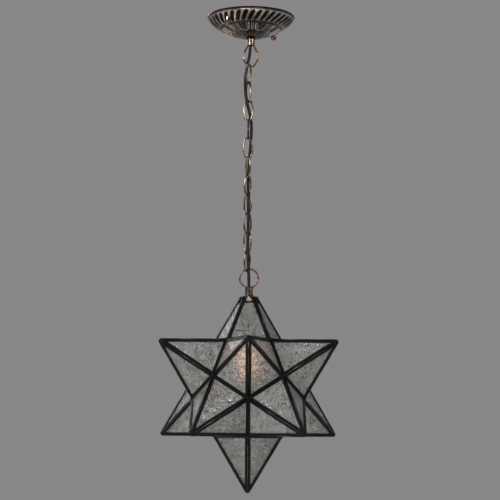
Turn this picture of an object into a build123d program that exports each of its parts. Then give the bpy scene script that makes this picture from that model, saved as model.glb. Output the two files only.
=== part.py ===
from build123d import *
from math import acos, asin, atan2, cos, pi, radians, sin, sqrt, tan
import os

os.makedirs("parts", exist_ok=True)

# Sizes in millimetres. The origin is the centre of the canopy's rim on the ceiling.
# Star: twelve points on a dodecahedron, all edges drawn as if the points were sharp
across_points = 305.0
point_blunting = 7.7
cap_overhang = 0.33
came_thickness = 1.0
ridge_leg_width = 4.6
valley_leg_width = 3.2
glass_thickness = 3.0
glass_ridge_inset = 2.3
glass_valley_inset = 0.9
glass_tip_setback = 9.0
glass_top_setback = 1.0
solder_tip_height = 2.0
door_gap = 0.6
door_azimuth = 144.0

# Door hinge and catch
hinge_barrel_radius = 2.0
hinge_pin_radius = 1.0
hinge_running_gap = 0.05
hinge_lift = 0.3
leaf_thickness = 0.8
leaf_width = 7.0
knuckle_length = 6.0
knuckle_gap = 0.2
knuckle_count = 5
pin_head_radius = 1.7
pin_head_length = 1.0
catch_width = 8.0
catch_reach = 6.0
catch_thickness = 0.8
catch_gap = 0.3

# Canopy
canopy_radius = 78.7
canopy_depth = 40.5
canopy_wall = 1.2
rim_lip_height = 2.4
outer_band_radius = 57.0
outer_band_depth = 20.5
middle_band_radius = 30.0
middle_band_depth = 32.5
inner_band_radius = 12.0
inner_band_depth = 38.2
band_step = 1.5
neck_radius = 9.0
outer_band_bulge = 2.0
flute_count = 36
flute_radius = 7.0
flute_depth = 0.8
flute_slant = 20.0
middle_band_bulge = 1.6
seat_pad_radius = 4.6
seat_pad_depth = 17.0
seat_pad_height = 7.0

# Ceiling straps, studs and nuts
strap_width = 16.0
strap_thickness = 1.6
strap_corner = 3.0
strap_gap = 0.1
fit_gap = 0.05
running_gap = 0.05
slot_spacing = 79.4
slot_length = 16.0
slot_width = 4.6
slot_end_margin = 5.3
eyelet_radius = 5.6
eyelet_bore_radius = 4.6
eyelet_flange_radius = 7.4
eyelet_flange_thickness = 0.7
stud_offset = 66.0
stud_angle = 51.0
stud_radius = 2.05
stud_clearance = 0.35
stud_nut_across_flats = 8.0
stud_nut_height = 3.0
strap_end_margin = 5.0
ball_nut_radius = 5.6
ball_neck_radius = 3.5
ball_neck_height = 2.6
ground_screw_radius = 1.9
ground_head_radius = 4.0
ground_head_height = 3.4
ground_screw_offset = 22.0
ball_bore_spare = 1.0

# Threaded tube and the loops with their collars
nipple_radius = 4.8
nipple_bore_radius = 3.5
thread_gap = 0.1
collar_radius = 7.0
collar_end_wall = 3.0
collar_height = 11.5
loop_height = 41.5
loop_half_width = 12.25
loop_wire = 3.5
loop_shoulder_drop = 14.0
loop_waist_drop = 26.0
loop_shoulder_radius = 7.0
loop_bow_radius = 7.8
nipple_spare = 2.5
canopy_nut_across_flats = 13.0
nut_height = 4.0
star_ring_diameter = 36.0
star_ring_wire = 3.0
star_collar_height = 13.0
check_ring_radius = 9.2
check_ring_height = 2.5
cap_thickness = 1.5

# Chain
link_count = 11
link_length = 40.35
link_width = 18.7
link_end_radius = 6.0
link_wire = 3.05
link_gap = 0.3
first_link_lift = 2.07
ring_lift = 0.43
chain_shift = -3.5
link_yaws = [58, -60, 0, 88, 0, -60, 44, -38, 38, -38, 52]

# Power cord and its leads
cord_diameter = 5.5
cord_top_in_canopy = 14.0
lead_diameter = 2.0
lead_spread = 1.5
lead_bend_radius = 3.0
lead_end_setback = 0.5

# Socket and bulb
washer_radius = 8.6
washer_thickness = 1.4
star_nut_across_flats = 14.0
star_nut_height = 5.0
socket_drop = 10.0
socket_length = 63.0
sleeve_radius = 13.5
sleeve_wall = 1.0
sleeve_to_cap_edge = 3.5
socket_body_gap = 0.3
socket_stem_radius = 7.5
socket_stem_bore_depth = 8.0
socket_recess = 1.0
bulb_base_radius = 6.9
bulb_base_length = 22.0
bulb_base_spare = 1.0
bulb_radius = 17.5
bulb_length = 72.0
bulb_neck_radius = 6.6

# Star geometry that follows from the sizes above
golden = (1 + sqrt(5)) / 2
tip_reach = across_points * sqrt(5) / (4 * sin(radians(72)))
sharp_reach = tip_reach + point_blunting
face_distance = sharp_reach / sqrt(5)
point_in_face = 2 * sharp_reach / sqrt(5)
base_circle = (sharp_reach - face_distance) / golden
valley_in_face = base_circle * cos(radians(36))
half_point_angle = radians(18)
cap_radius = sleeve_radius + sleeve_to_cap_edge
top_plane_height = sharp_reach - (cap_radius - cap_overhang) * golden

# Heights of the hanging stack, from the ceiling down
collar_bottom = -canopy_depth - collar_height
loop_bow_centre = collar_bottom - loop_height + loop_wire / 2
loop_hook_slope = asin(chain_shift / loop_bow_radius)
loop_hook_height = loop_bow_centre + loop_bow_radius * (1 - cos(loop_hook_slope))
first_rise = (loop_wire / 2 + link_wire / 2 + link_gap) / cos(loop_hook_slope)
first_link_height = loop_hook_height + first_rise + first_link_lift - (link_length - link_wire) / 2
link_pitch = link_length - 2 * link_wire - link_gap
last_link_height = first_link_height - (link_count - 1) * link_pitch
last_hook_height = last_link_height - (link_length - link_wire) / 2
ring_radius = (star_ring_diameter - star_ring_wire) / 2
ring_hook_slope = asin(chain_shift / ring_radius)
ring_rise = (star_ring_wire / 2 + link_wire / 2 + link_gap) / cos(ring_hook_slope)
ring_centre = last_hook_height + ring_rise + ring_lift - ring_radius * cos(ring_hook_slope)
star_collar_top = ring_centre - ring_radius - star_ring_wire / 4
star_collar_bottom = star_collar_top - star_collar_height
cap_top = star_collar_bottom - check_ring_height
star_top = cap_top - cap_thickness
star_centre = star_top - top_plane_height


def finish(piece, name):
    """Labels a finished piece and writes its file."""
    piece.label = name
    export_step(piece, "parts/" + name + ".step")


def tip_direction(azimuth, height):
    """Unit vector to a point of the star; azimuth 0 faces the front, -Y."""
    spread = 2 / sqrt(5)
    if abs(height) == 1:
        return Vector(0, 0, height)
    turn = radians(azimuth)
    return Vector(spread * sin(turn), -spread * cos(turn), height / sqrt(5) / abs(height))


# The points in order: top, upper ring, lower ring, bottom
tips = {"top": tip_direction(0, 1)}
for step in range(5):
    tips["upper_" + str(step * 72)] = tip_direction(step * 72, 0.5)
for step in range(5):
    tips["lower_" + str(step * 72 + 36)] = tip_direction(step * 72 + 36, -0.5)
tips["bottom"] = tip_direction(0, -1)
door_name = "upper_" + str(int(door_azimuth))


def neighbours(name):
    """Names of the five points next to this one."""
    here = tips[name]
    return [other for other in tips if other != name and here.dot(tips[other]) > 0.1]


def face_plane(name, other):
    """Outer plane of the pane of point `name` that looks towards point `other`, x to the point's tip."""
    normal = tips[other]
    towards = tips[name] - normal * tips[name].dot(normal)
    origin = Vector(0, 0, star_centre) + normal * face_distance
    return Plane(origin=origin, x_dir=towards, z_dir=normal)


def ridge_y(x, inset, scale=1.0):
    """Half width of a pane at x, less an inset square to its ridge."""
    run = point_in_face * scale - x
    return (run * sin(half_point_angle) - inset) / cos(half_point_angle)


came_scale = (face_distance - came_thickness) / face_distance


def leg(corners):
    """One flat leg of a came, its sides on planes through the star's centre."""
    with BuildPart() as piece:
        with BuildSketch(Plane.XY):
            Polygon(*corners, align=None)
        with BuildSketch(Plane.XY.offset(-came_thickness)):
            Polygon(*[(x * came_scale, y * came_scale) for x, y in corners], align=None)
        loft(ruled=True)
    return piece.part


centre_below = Vector(0, 0, -face_distance)


def plane_through(a, b):
    """Plane through the star's centre and two points of the canonical pane."""
    return Plane(origin=centre_below, z_dir=(a - centre_below).cross(b - centre_below))


def ridge_strip(reach):
    """V-shaped came along one ridge, cut square to the point's axis at this reach."""
    foot = valley_in_face + valley_leg_width
    corners = [
        (point_in_face, 0),
        (point_in_face - ridge_leg_width / sin(half_point_angle), 0),
        (foot, ridge_y(foot, ridge_leg_width)),
        (foot, ridge_y(foot, 0)),
    ]
    axis = Vector(2 / sqrt(5), 0, 1 / sqrt(5))
    with BuildPart() as strip:
        add(leg(corners))
        mirror(about=plane_through(Vector(point_in_face, 0, 0), Vector(foot, ridge_y(foot, 0), 0)))
        split(bisect_by=Plane(origin=centre_below + axis * reach, z_dir=axis), keep=Keep.BOTTOM)
    return strip.part


def valley_corners(start):
    end = valley_in_face + valley_leg_width
    return [
        (start, -ridge_y(start, 0)),
        (end, -ridge_y(end, 0)),
        (end, ridge_y(end, 0)),
        (start, ridge_y(start, 0)),
    ]


def valley_strip():
    """V-shaped came in the valley between two points."""
    start = valley_in_face
    with BuildPart() as strip:
        add(leg(valley_corners(start)))
        mirror(about=plane_through(Vector(start, 1, 0), Vector(start, -1, 0)))
    return strip.part


def pane(reach):
    """One glass pane, lying under the came, with its narrow end at this reach."""
    foot = valley_in_face * came_scale + glass_valley_inset
    head = (reach - face_distance / sqrt(5)) * sqrt(5) / 2 * came_scale
    with BuildPart() as glass:
        with BuildSketch(Plane.XY.offset(-came_thickness)):
            Polygon(
                (foot, -ridge_y(foot, glass_ridge_inset, came_scale)),
                (head, -ridge_y(head, glass_ridge_inset, came_scale)),
                (head, ridge_y(head, glass_ridge_inset, came_scale)),
                (foot, ridge_y(foot, glass_ridge_inset, came_scale)),
                align=None,
            )
        extrude(amount=-glass_thickness)
    return glass.part


def on_faces(shape, name):
    """Copies of a canonical shape on the five faces of a point."""
    return [shape.moved(face_plane(name, other).location) for other in neighbours(name)]


def group(shapes):
    return Compound([solid for shape in shapes for solid in shape.solids()])


# Glass, five panes to a point
point_pane = pane(tip_reach - glass_tip_setback)
top_pane = pane(top_plane_height - glass_top_setback)
for name in tips:
    panes = on_faces(top_pane if name == "top" else point_pane, name)
    finish(group(panes), "glass_" + name)

# Came on the ridges and in the valleys
tip_cut = tip_reach - solder_tip_height
point_ridge = ridge_strip(tip_cut)
finish(group(on_faces(ridge_strip(top_plane_height), "top")), "ridge_came_top")
upper_names = [name for name in tips if name.startswith("upper") and name != door_name]
lower_names = [name for name in tips if name.startswith("lower")]
finish(group([s for name in upper_names for s in on_faces(point_ridge, name)]), "ridge_came_upper")
finish(group([s for name in lower_names for s in on_faces(point_ridge, name)]), "ridge_came_lower")
finish(group(on_faces(point_ridge, "bottom")), "ridge_came_bottom")

valley = valley_strip()
valleys = []
for name in tips:
    for other in neighbours(name):
        if name < other and door_name not in (name, other):
            valleys.append(valley.moved(face_plane(name, other).location))
finish(group(valleys), "valley_came")

# The door point has its own rails, and the star has rails round its opening
rail = leg(valley_corners(valley_in_face + door_gap / 2))
door_rails = on_faces(rail, door_name)
opening_rails = [rail.moved(face_plane(other, door_name).location) for other in neighbours(door_name)]
finish(group(opening_rails), "door_opening_rails")
finish(group(on_faces(point_ridge, door_name) + door_rails), "door_came")


def tip_plane(name):
    towards = tips[name]
    return Plane(origin=Vector(0, 0, star_centre) + towards * tip_cut, z_dir=towards)


# Solder that closes the blunt end of each point
solder_radius = (sharp_reach - tip_cut) / golden * cos(radians(36))
bead_radius = (solder_radius**2 + solder_tip_height**2) / (2 * solder_tip_height)
bead_half_turn = asin(solder_radius / bead_radius) / 2
with BuildPart() as solder_bead:
    with BuildSketch(Plane.XZ):
        with BuildLine():
            Line((0, 0), (solder_radius, 0))
            ThreePointArc(
                (solder_radius, 0),
                (bead_radius * sin(bead_half_turn),
                 solder_tip_height - bead_radius * (1 - cos(bead_half_turn))),
                (0, solder_tip_height),
            )
            Line((0, solder_tip_height), (0, 0))
        make_face()
    revolve(axis=Axis.Z)
fixed_tips = [name for name in tips if name not in ("top", door_name)]
finish(group([solder_bead.part.moved(tip_plane(name).location) for name in fixed_tips]), "solder_tips")
finish(group([solder_bead.part.moved(tip_plane(door_name).location)]), "door_solder_tip")

# Door hinge, in the valley towards the side point
hinge_side = "upper_72"
hinge_mid = (tips[door_name] + tips[hinge_side]).normalized()
hinge_along = tips[door_name].cross(tips[hinge_side]).normalized()
valley_mid = sqrt(face_distance**2 + valley_in_face**2)
barrel_to_face = hinge_barrel_radius + hinge_lift
face_lean = acos(tips[door_name].dot(hinge_mid))
valley_half_angle = pi / 2 - face_lean
barrel_height = barrel_to_face / sin(valley_half_angle)
hinge_point = Vector(0, 0, star_centre) + hinge_mid * (valley_mid + barrel_height)
barrel_run = knuckle_count * knuckle_length + (knuckle_count - 1) * knuckle_gap
leaf_start = barrel_height * cos(valley_half_angle)


def hinge_frame(name):
    """Frame on a face beside the hinge valley: x up the face from the barrel's foot, z outwards."""
    other = hinge_side if name == door_name else door_name
    face = face_plane(name, other)
    origin = face.origin + face.x_dir * (valley_in_face + leaf_start)
    return Plane(origin=origin, x_dir=face.x_dir, z_dir=face.z_dir)


def knuckle_centres(first):
    pitch = knuckle_length + knuckle_gap
    places = [(-barrel_run + knuckle_length) / 2 + pitch * count for count in range(knuckle_count)]
    return places[first::2]


def leaf(name, first):
    """One hinge leaf with its knuckles, seen in its own face's frame."""
    own = knuckle_centres(first)
    other_start = hinge_barrel_radius + hinge_lift
    bore = hinge_pin_radius + hinge_running_gap
    with BuildPart() as piece:
        with Locations((other_start, 0, 0)):
            Box(leaf_width - other_start, barrel_run, leaf_thickness,
                align=(Align.MIN, Align.CENTER, Align.MIN))
        for place in own:
            with Locations((0, place, 0)):
                Box(other_start, knuckle_length, leaf_thickness,
                    align=(Align.MIN, Align.CENTER, Align.MIN))
            with BuildSketch(Plane.XZ.offset(-place - knuckle_length / 2)):
                with Locations((0, barrel_to_face)):
                    Circle(hinge_barrel_radius)
            extrude(amount=knuckle_length)
        with BuildSketch(Plane.XZ.offset(-barrel_run)):
            with Locations((0, barrel_to_face)):
                Circle(bore)
        extrude(amount=2 * barrel_run, mode=Mode.SUBTRACT)
    return piece.part.moved(hinge_frame(name).location)


finish(group([leaf(hinge_side, 0)]), "hinge_leaf_fixed")
finish(group([leaf(door_name, 1)]), "hinge_leaf_door")

pin_plane = Plane(origin=hinge_point, z_dir=hinge_along)
with BuildPart() as hinge_pin:
    Cylinder(hinge_pin_radius, barrel_run + 2 * knuckle_gap)
    for end in (-1, 1):
        with Locations((0, 0, end * (barrel_run / 2 + knuckle_gap + pin_head_length / 2))):
            Cylinder(pin_head_radius, pin_head_length)
finish(hinge_pin.part.moved(pin_plane.location), "hinge_pin")

# Catch: a folded tongue soldered to the door that laps over the next point's rail
catch_side = "upper_216"
valley_angle = 2 * valley_half_angle
along_fixed = (cos(valley_angle), sin(valley_angle))
off_fixed = (sin(valley_angle), -cos(valley_angle))
tongue_under = catch_gap / off_fixed[0]
tongue_over = (catch_gap + catch_thickness - catch_thickness * off_fixed[1]) / off_fixed[0]
tongue_end = [
    tuple(lift * off + catch_reach * run for off, run in zip(off_fixed, along_fixed))
    for lift in (catch_gap + catch_thickness, catch_gap)
]
with BuildPart() as door_catch:
    with BuildSketch(Plane.XZ.offset(-catch_width / 2)):
        with Locations((valley_in_face, 0)):
            Polygon(
                (catch_reach, 0),
                (catch_reach, catch_thickness),
                (tongue_over, catch_thickness),
                tongue_end[0],
                tongue_end[1],
                (tongue_under, 0),
                align=None,
            )
    extrude(amount=catch_width)
finish(group([door_catch.part.moved(face_plane(door_name, catch_side).location)]), "door_catch")

# Canopy: a stamped bowl in three stepped bands, open at the ceiling
band_slope = atan2(outer_band_depth - rim_lip_height, canopy_radius - canopy_wall - outer_band_radius)
outer_middle = (
    (canopy_radius - canopy_wall + outer_band_radius) / 2 + outer_band_bulge * sin(band_slope),
    -(rim_lip_height + outer_band_depth) / 2 - outer_band_bulge * cos(band_slope),
)
second_top = outer_band_depth + band_step
second_start = outer_band_radius - band_step
third_top = middle_band_depth + band_step
third_start = middle_band_radius - band_step
flute_centre = (
    outer_middle[0] + (flute_radius - flute_depth) * sin(band_slope),
    outer_middle[1] - (flute_radius - flute_depth) * cos(band_slope),
)
flute_plane = Plane(
    origin=(flute_centre[0], 0, flute_centre[1]),
    z_dir=(cos(band_slope), tan(radians(flute_slant)), sin(band_slope)),
)
with BuildPart() as canopy:
    with BuildSketch(Plane.XZ):
        with BuildLine():
            Polyline(
                (-canopy_radius, 0),
                (-canopy_radius, 4 * canopy_wall),
                (canopy_radius, 4 * canopy_wall),
                (canopy_radius, -rim_lip_height),
                (canopy_radius - canopy_wall, -rim_lip_height),
            )
            ThreePointArc(
                (canopy_radius - canopy_wall, -rim_lip_height),
                outer_middle,
                (outer_band_radius, -outer_band_depth),
            )
            Polyline(
                (outer_band_radius, -outer_band_depth),
                (second_start, -outer_band_depth),
                (second_start, -second_top),
            )
            ThreePointArc(
                (second_start, -second_top),
                ((second_start + middle_band_radius) / 2 + middle_band_bulge * 0.4,
                 -(second_top + middle_band_depth) / 2 - middle_band_bulge * 0.9),
                (middle_band_radius, -middle_band_depth),
            )
            Polyline(
                (middle_band_radius, -middle_band_depth),
                (third_start, -middle_band_depth),
                (third_start, -third_top),
                (inner_band_radius, -inner_band_depth),
                (neck_radius, -inner_band_depth),
                (neck_radius, -canopy_depth),
                (-canopy_radius, -canopy_depth),
                (-canopy_radius, 0),
            )
        make_face()
        offset(amount=-canopy_wall, kind=Kind.INTERSECTION, mode=Mode.SUBTRACT)
        Rectangle(3 * canopy_radius, 5 * canopy_wall, align=(Align.CENTER, Align.MIN), mode=Mode.SUBTRACT)
        Rectangle(3 * canopy_radius, 3 * canopy_depth, align=(Align.MAX, Align.CENTER), mode=Mode.SUBTRACT)
    revolve(axis=Axis.Z)
    with Locations((0, 0, -canopy_depth)):
        Cylinder(nipple_radius + thread_gap, 3 * canopy_wall, mode=Mode.SUBTRACT)
    for count in range(flute_count):
        with Locations(Rotation(0, 0, count * 360 / flute_count) * flute_plane.location):
            Cylinder(flute_radius, 2 * outer_band_depth, mode=Mode.SUBTRACT)
    with BuildSketch(Plane.XY.offset(-seat_pad_depth)):
        with PolarLocations(stud_offset, 2, start_angle=stud_angle):
            Circle(seat_pad_radius)
    extrude(amount=seat_pad_height)
    with BuildSketch(Plane.XY.offset(-seat_pad_depth)):
        with PolarLocations(stud_offset, 2, start_angle=stud_angle):
            Circle(seat_pad_radius)
    extrude(amount=-seat_pad_height, mode=Mode.SUBTRACT)
    with BuildSketch(Plane.XY.offset(-canopy_depth)):
        with PolarLocations(stud_offset, 2, start_angle=stud_angle):
            Circle(stud_radius + stud_clearance)
    extrude(amount=canopy_depth, mode=Mode.SUBTRACT)
finish(canopy.part, "canopy")

# Two ceiling straps, turning on a hollow eyelet that lets the wires through
strap_turn = Plane.XY.rotated((0, 0, stud_angle))
canopy_strap_top = -strap_thickness - strap_gap
canopy_strap_bottom = canopy_strap_top - strap_thickness
canopy_strap_length = 2 * (stud_offset + strap_end_margin)
with BuildPart() as box_strap:
    with BuildSketch(Plane.XY):
        RectangleRounded(slot_spacing + slot_length + 2 * slot_end_margin, strap_width, strap_corner)
        with GridLocations(slot_spacing, 0, 2, 1):
            SlotOverall(slot_length, slot_width, mode=Mode.SUBTRACT)
        Circle(eyelet_radius + fit_gap, mode=Mode.SUBTRACT)
    extrude(amount=-strap_thickness)
finish(box_strap.part, "box_strap")

with BuildPart() as canopy_strap:
    with BuildSketch(strap_turn.offset(canopy_strap_top)):
        RectangleRounded(canopy_strap_length, strap_width, strap_corner)
        Circle(eyelet_radius + fit_gap, mode=Mode.SUBTRACT)
        with GridLocations(2 * stud_offset, 0, 2, 1):
            Circle(stud_radius + fit_gap, mode=Mode.SUBTRACT)
        with Locations((ground_screw_offset, 0)):
            Circle(ground_screw_radius + fit_gap, mode=Mode.SUBTRACT)
    extrude(amount=-strap_thickness)
finish(canopy_strap.part, "canopy_strap")

eyelet_bottom = canopy_strap_bottom - fit_gap - eyelet_flange_thickness
with BuildPart() as strap_eyelet:
    with BuildSketch(Plane.XY):
        Circle(eyelet_radius)
    extrude(amount=eyelet_bottom)
    with BuildSketch(Plane.XY.offset(eyelet_bottom)):
        Circle(eyelet_flange_radius)
    extrude(amount=eyelet_flange_thickness)
    with BuildSketch(Plane.XY):
        Circle(eyelet_bore_radius)
    extrude(amount=eyelet_bottom, mode=Mode.SUBTRACT)
finish(strap_eyelet.part, "strap_eyelet")

with BuildPart() as ground_screw:
    with BuildSketch(strap_turn.offset(canopy_strap_bottom)):
        with Locations((ground_screw_offset, 0)):
            RegularPolygon(ground_head_radius, 6)
    extrude(amount=-ground_head_height)
    with BuildSketch(strap_turn.offset(canopy_strap_top)):
        with Locations((ground_screw_offset, 0)):
            Circle(ground_screw_radius)
    extrude(amount=-strap_thickness)
finish(ground_screw.part, "ground_screw")

ball_centre = -seat_pad_depth - ball_neck_height - sqrt(ball_nut_radius**2 - ball_neck_radius**2)
stud_end = ball_centre
with BuildPart() as canopy_studs:
    with BuildSketch(strap_turn.offset(canopy_strap_top)):
        with GridLocations(2 * stud_offset, 0, 2, 1):
            Circle(stud_radius)
    extrude(amount=stud_end - canopy_strap_top)
finish(canopy_studs.part, "canopy_studs")

with BuildPart() as stud_nuts:
    with BuildSketch(strap_turn.offset(canopy_strap_bottom)):
        with GridLocations(2 * stud_offset, 0, 2, 1):
            RegularPolygon(stud_nut_across_flats / 2, 6, major_radius=False)
            Circle(stud_radius + fit_gap, mode=Mode.SUBTRACT)
    extrude(amount=-stud_nut_height)
finish(stud_nuts.part, "stud_nuts")

# Ball nuts under the canopy, bored blind for the studs
with BuildPart() as ball_nut:
    with BuildSketch(Plane.XZ):
        with BuildLine():
            Line((0, -seat_pad_depth), (ball_neck_radius, -seat_pad_depth))
            Line((ball_neck_radius, -seat_pad_depth), (ball_neck_radius, -seat_pad_depth - ball_neck_height))
            ThreePointArc(
                (ball_neck_radius, -seat_pad_depth - ball_neck_height),
                (ball_nut_radius, ball_centre),
                (0, ball_centre - ball_nut_radius),
            )
            Line((0, ball_centre - ball_nut_radius), (0, -seat_pad_depth))
        make_face()
    revolve(axis=Axis.Z)
    with BuildSketch(Plane.XY.offset(-seat_pad_depth)):
        Circle(stud_radius + running_gap)
    extrude(amount=ball_centre + seat_pad_depth - ball_bore_spare, mode=Mode.SUBTRACT)
rear_stud = strap_turn.from_local_coords(Vector(stud_offset, 0, 0))
finish(ball_nut.part.moved(Location(rear_stud)), "ball_nut_rear")
finish(ball_nut.part.moved(Location(-rear_stud)), "ball_nut_front")

# Threaded tube and nut that hang the loop from the canopy
collar_bore_end = collar_bottom + collar_end_wall
canopy_nut_bottom = -canopy_depth + canopy_wall
with BuildPart() as canopy_nipple:
    with BuildSketch(Plane.XY.offset(collar_bore_end)):
        Circle(nipple_radius)
        Circle(nipple_bore_radius, mode=Mode.SUBTRACT)
    extrude(amount=canopy_nut_bottom + nut_height + nipple_spare - collar_bore_end)
finish(canopy_nipple.part, "canopy_nipple")

with BuildPart() as canopy_nut:
    with BuildSketch(Plane.XY.offset(canopy_nut_bottom)):
        RegularPolygon(canopy_nut_across_flats / 2, 6, major_radius=False)
        Circle(nipple_radius + thread_gap, mode=Mode.SUBTRACT)
    extrude(amount=nut_height)
finish(canopy_nut.part, "canopy_nut")

# Canopy loop: a collar with a rounded lozenge of wire below it
shoulder_z = collar_bottom - loop_shoulder_drop
waist_z = collar_bottom - loop_waist_drop
bow_middle_z = loop_bow_centre + loop_bow_radius
waist_to_bow = sqrt(loop_half_width**2 + (waist_z - bow_middle_z) ** 2)
flank_angle = atan2(loop_half_width, waist_z - bow_middle_z) - asin(loop_bow_radius / waist_to_bow)
loop_foot_z = waist_z - loop_half_width / tan(flank_angle)
loop_root = collar_radius - loop_wire * 0.65
with BuildPart() as canopy_loop:
    with BuildLine(Plane.XZ) as loop_path:
        FilletPolyline(
            (-loop_root, collar_bottom + 1),
            (-loop_half_width, shoulder_z),
            (-loop_half_width, waist_z),
            (0, loop_foot_z),
            (loop_half_width, waist_z),
            (loop_half_width, shoulder_z),
            (loop_root, collar_bottom + 1),
            radius=[loop_shoulder_radius, loop_shoulder_radius, loop_bow_radius,
                    loop_shoulder_radius, loop_shoulder_radius],
        )
    with BuildSketch(Plane(origin=loop_path.line @ 0, z_dir=loop_path.line % 0)):
        Circle(loop_wire / 2)
    sweep()
    with BuildSketch(Plane.XY.offset(collar_bottom)):
        Circle(collar_radius)
    extrude(amount=collar_height)
    with BuildSketch(Plane.XY.offset(collar_bottom - loop_wire)):
        Circle(nipple_bore_radius)
    extrude(amount=collar_height, mode=Mode.SUBTRACT)
    with BuildSketch(Plane.XY.offset(collar_bore_end)):
        Circle(nipple_radius + thread_gap)
    extrude(amount=collar_height, mode=Mode.SUBTRACT)
finish(canopy_loop.part, "canopy_loop")

# Chain: one oval link of four arcs, repeated down the chain and turned by hand
half_width = (link_width - link_wire) / 2
half_length = (link_length - link_wire) / 2
end_centre = half_length - link_end_radius
side_radius = (end_centre**2 + half_width**2 - link_end_radius**2) / (2 * (half_width - link_end_radius))
side_centre = side_radius - half_width
join_angle = atan2(end_centre, side_centre)
join = (side_radius * cos(join_angle) - side_centre, side_radius * sin(join_angle))
with BuildPart() as chain_link:
    with BuildLine(Plane.XZ) as link_path:
        ThreePointArc((join[0], -join[1]), (half_width, 0), join)
        ThreePointArc(join, (0, half_length), (-join[0], join[1]))
        ThreePointArc((-join[0], join[1]), (-half_width, 0), (-join[0], -join[1]))
        ThreePointArc((-join[0], -join[1]), (0, -half_length), (join[0], -join[1]))
    with BuildSketch(Plane(origin=link_path.line @ 0, z_dir=link_path.line % 0)):
        Circle(link_wire / 2)
    sweep()
for number, yaw in enumerate(link_yaws):
    place = Location((chain_shift, 0, first_link_height - number * link_pitch), (0, 0, yaw))
    finish(chain_link.part.moved(place), "chain_link_" + str(number + 1).zfill(2))

# Ring and collar on the star, bored for the cord and threaded tube
star_bore_end = star_collar_top - collar_end_wall
with BuildPart() as star_loop:
    with Locations(Location((0, 0, ring_centre), (90, 0, 0))):
        Torus(ring_radius, star_ring_wire / 2)
    with BuildSketch(Plane.XY.offset(star_collar_bottom)):
        Circle(collar_radius)
    extrude(amount=star_collar_height)
    with BuildSketch(Plane.XY.offset(star_collar_bottom)):
        Circle(nipple_bore_radius)
    extrude(amount=star_collar_height + star_ring_wire, mode=Mode.SUBTRACT)
    with BuildSketch(Plane.XY.offset(star_collar_bottom)):
        Circle(nipple_radius + thread_gap)
    extrude(amount=star_bore_end - star_collar_bottom, mode=Mode.SUBTRACT)
finish(star_loop.part, "star_loop")


def round_plate(height, radius, thickness, name, edge=0.0):
    """Flat ring on the threaded tube, with its underside at this height."""
    with BuildPart() as plate:
        with BuildSketch(Plane.XY.offset(height)):
            Circle(radius)
            Circle(nipple_radius + thread_gap, mode=Mode.SUBTRACT)
        extrude(amount=thickness)
        if edge:
            chamfer(plate.edges().filter_by(GeomType.CIRCLE).sort_by(SortBy.RADIUS)[-2:], edge)
    finish(plate.part, name)


round_plate(cap_top, check_ring_radius, check_ring_height, "check_ring", 0.6)
round_plate(star_top, cap_radius, cap_thickness, "star_cap", 0.4)
washer_bottom = star_top - washer_thickness
round_plate(washer_bottom, washer_radius, washer_thickness, "star_washer")
star_nut_bottom = washer_bottom - star_nut_height
with BuildPart() as star_nut:
    with BuildSketch(Plane.XY.offset(star_nut_bottom)):
        RegularPolygon(star_nut_across_flats / 2, 6, major_radius=False)
        Circle(nipple_radius + thread_gap, mode=Mode.SUBTRACT)
    extrude(amount=star_nut_height)
finish(star_nut.part, "star_nut")

# Socket on the end of the threaded tube, and its sleeve
socket_top = star_nut_bottom - socket_body_gap
socket_bore_end = socket_top - socket_stem_bore_depth
sleeve_top = star_top - socket_drop
sleeve_bottom = sleeve_top - socket_length
socket_bottom = sleeve_bottom + socket_recess
socket_body_radius = sleeve_radius - sleeve_wall - socket_body_gap
with BuildPart() as star_nipple:
    with BuildSketch(Plane.XY.offset(socket_bore_end)):
        Circle(nipple_radius)
        Circle(nipple_bore_radius, mode=Mode.SUBTRACT)
    extrude(amount=star_bore_end - socket_bore_end)
finish(star_nipple.part, "star_nipple")

with BuildPart() as socket_body:
    with BuildSketch(Plane.XY.offset(socket_bottom)):
        Circle(socket_body_radius)
    extrude(amount=sleeve_top - socket_bottom)
    with BuildSketch(Plane.XY.offset(sleeve_top)):
        Circle(socket_stem_radius)
    extrude(amount=socket_top - sleeve_top)
    with BuildSketch(Plane.XY.offset(socket_bore_end)):
        Circle(nipple_radius + thread_gap)
    extrude(amount=socket_stem_bore_depth, mode=Mode.SUBTRACT)
    with BuildSketch(Plane.XY.offset(socket_bottom)):
        Circle(bulb_base_radius + running_gap)
    extrude(amount=bulb_base_length + bulb_base_spare, mode=Mode.SUBTRACT)
finish(socket_body.part, "socket_body")

with BuildPart() as socket_sleeve:
    with BuildSketch(Plane.XY.offset(sleeve_bottom)):
        Circle(sleeve_radius)
        Circle(sleeve_radius - sleeve_wall, mode=Mode.SUBTRACT)
    extrude(amount=socket_length)
finish(socket_sleeve.part, "socket_sleeve")

# Candle bulb: threaded base and glass envelope
with BuildPart() as bulb_base:
    with BuildSketch(Plane.XY.offset(sleeve_bottom)):
        Circle(bulb_base_radius)
    extrude(amount=bulb_base_length)
    chamfer(bulb_base.edges().group_by(Axis.Z)[-1], bulb_base_radius / 4)
finish(bulb_base.part, "bulb_base")

with BuildPart() as bulb_glass:
    with BuildSketch(Plane.XZ):
        with BuildLine():
            Line((0, sleeve_bottom), (bulb_neck_radius, sleeve_bottom))
            Spline(
                (bulb_neck_radius, sleeve_bottom),
                (bulb_radius, sleeve_bottom - 0.42 * bulb_length),
                (0.35 * bulb_radius, sleeve_bottom - 0.93 * bulb_length),
                (0, sleeve_bottom - bulb_length),
                tangents=[(0.5, -1), (-1, 0)],
            )
            Line((0, sleeve_bottom - bulb_length), (0, sleeve_bottom))
        make_face()
    revolve(axis=Axis.Z)
finish(bulb_glass.part, "bulb_glass")

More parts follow.
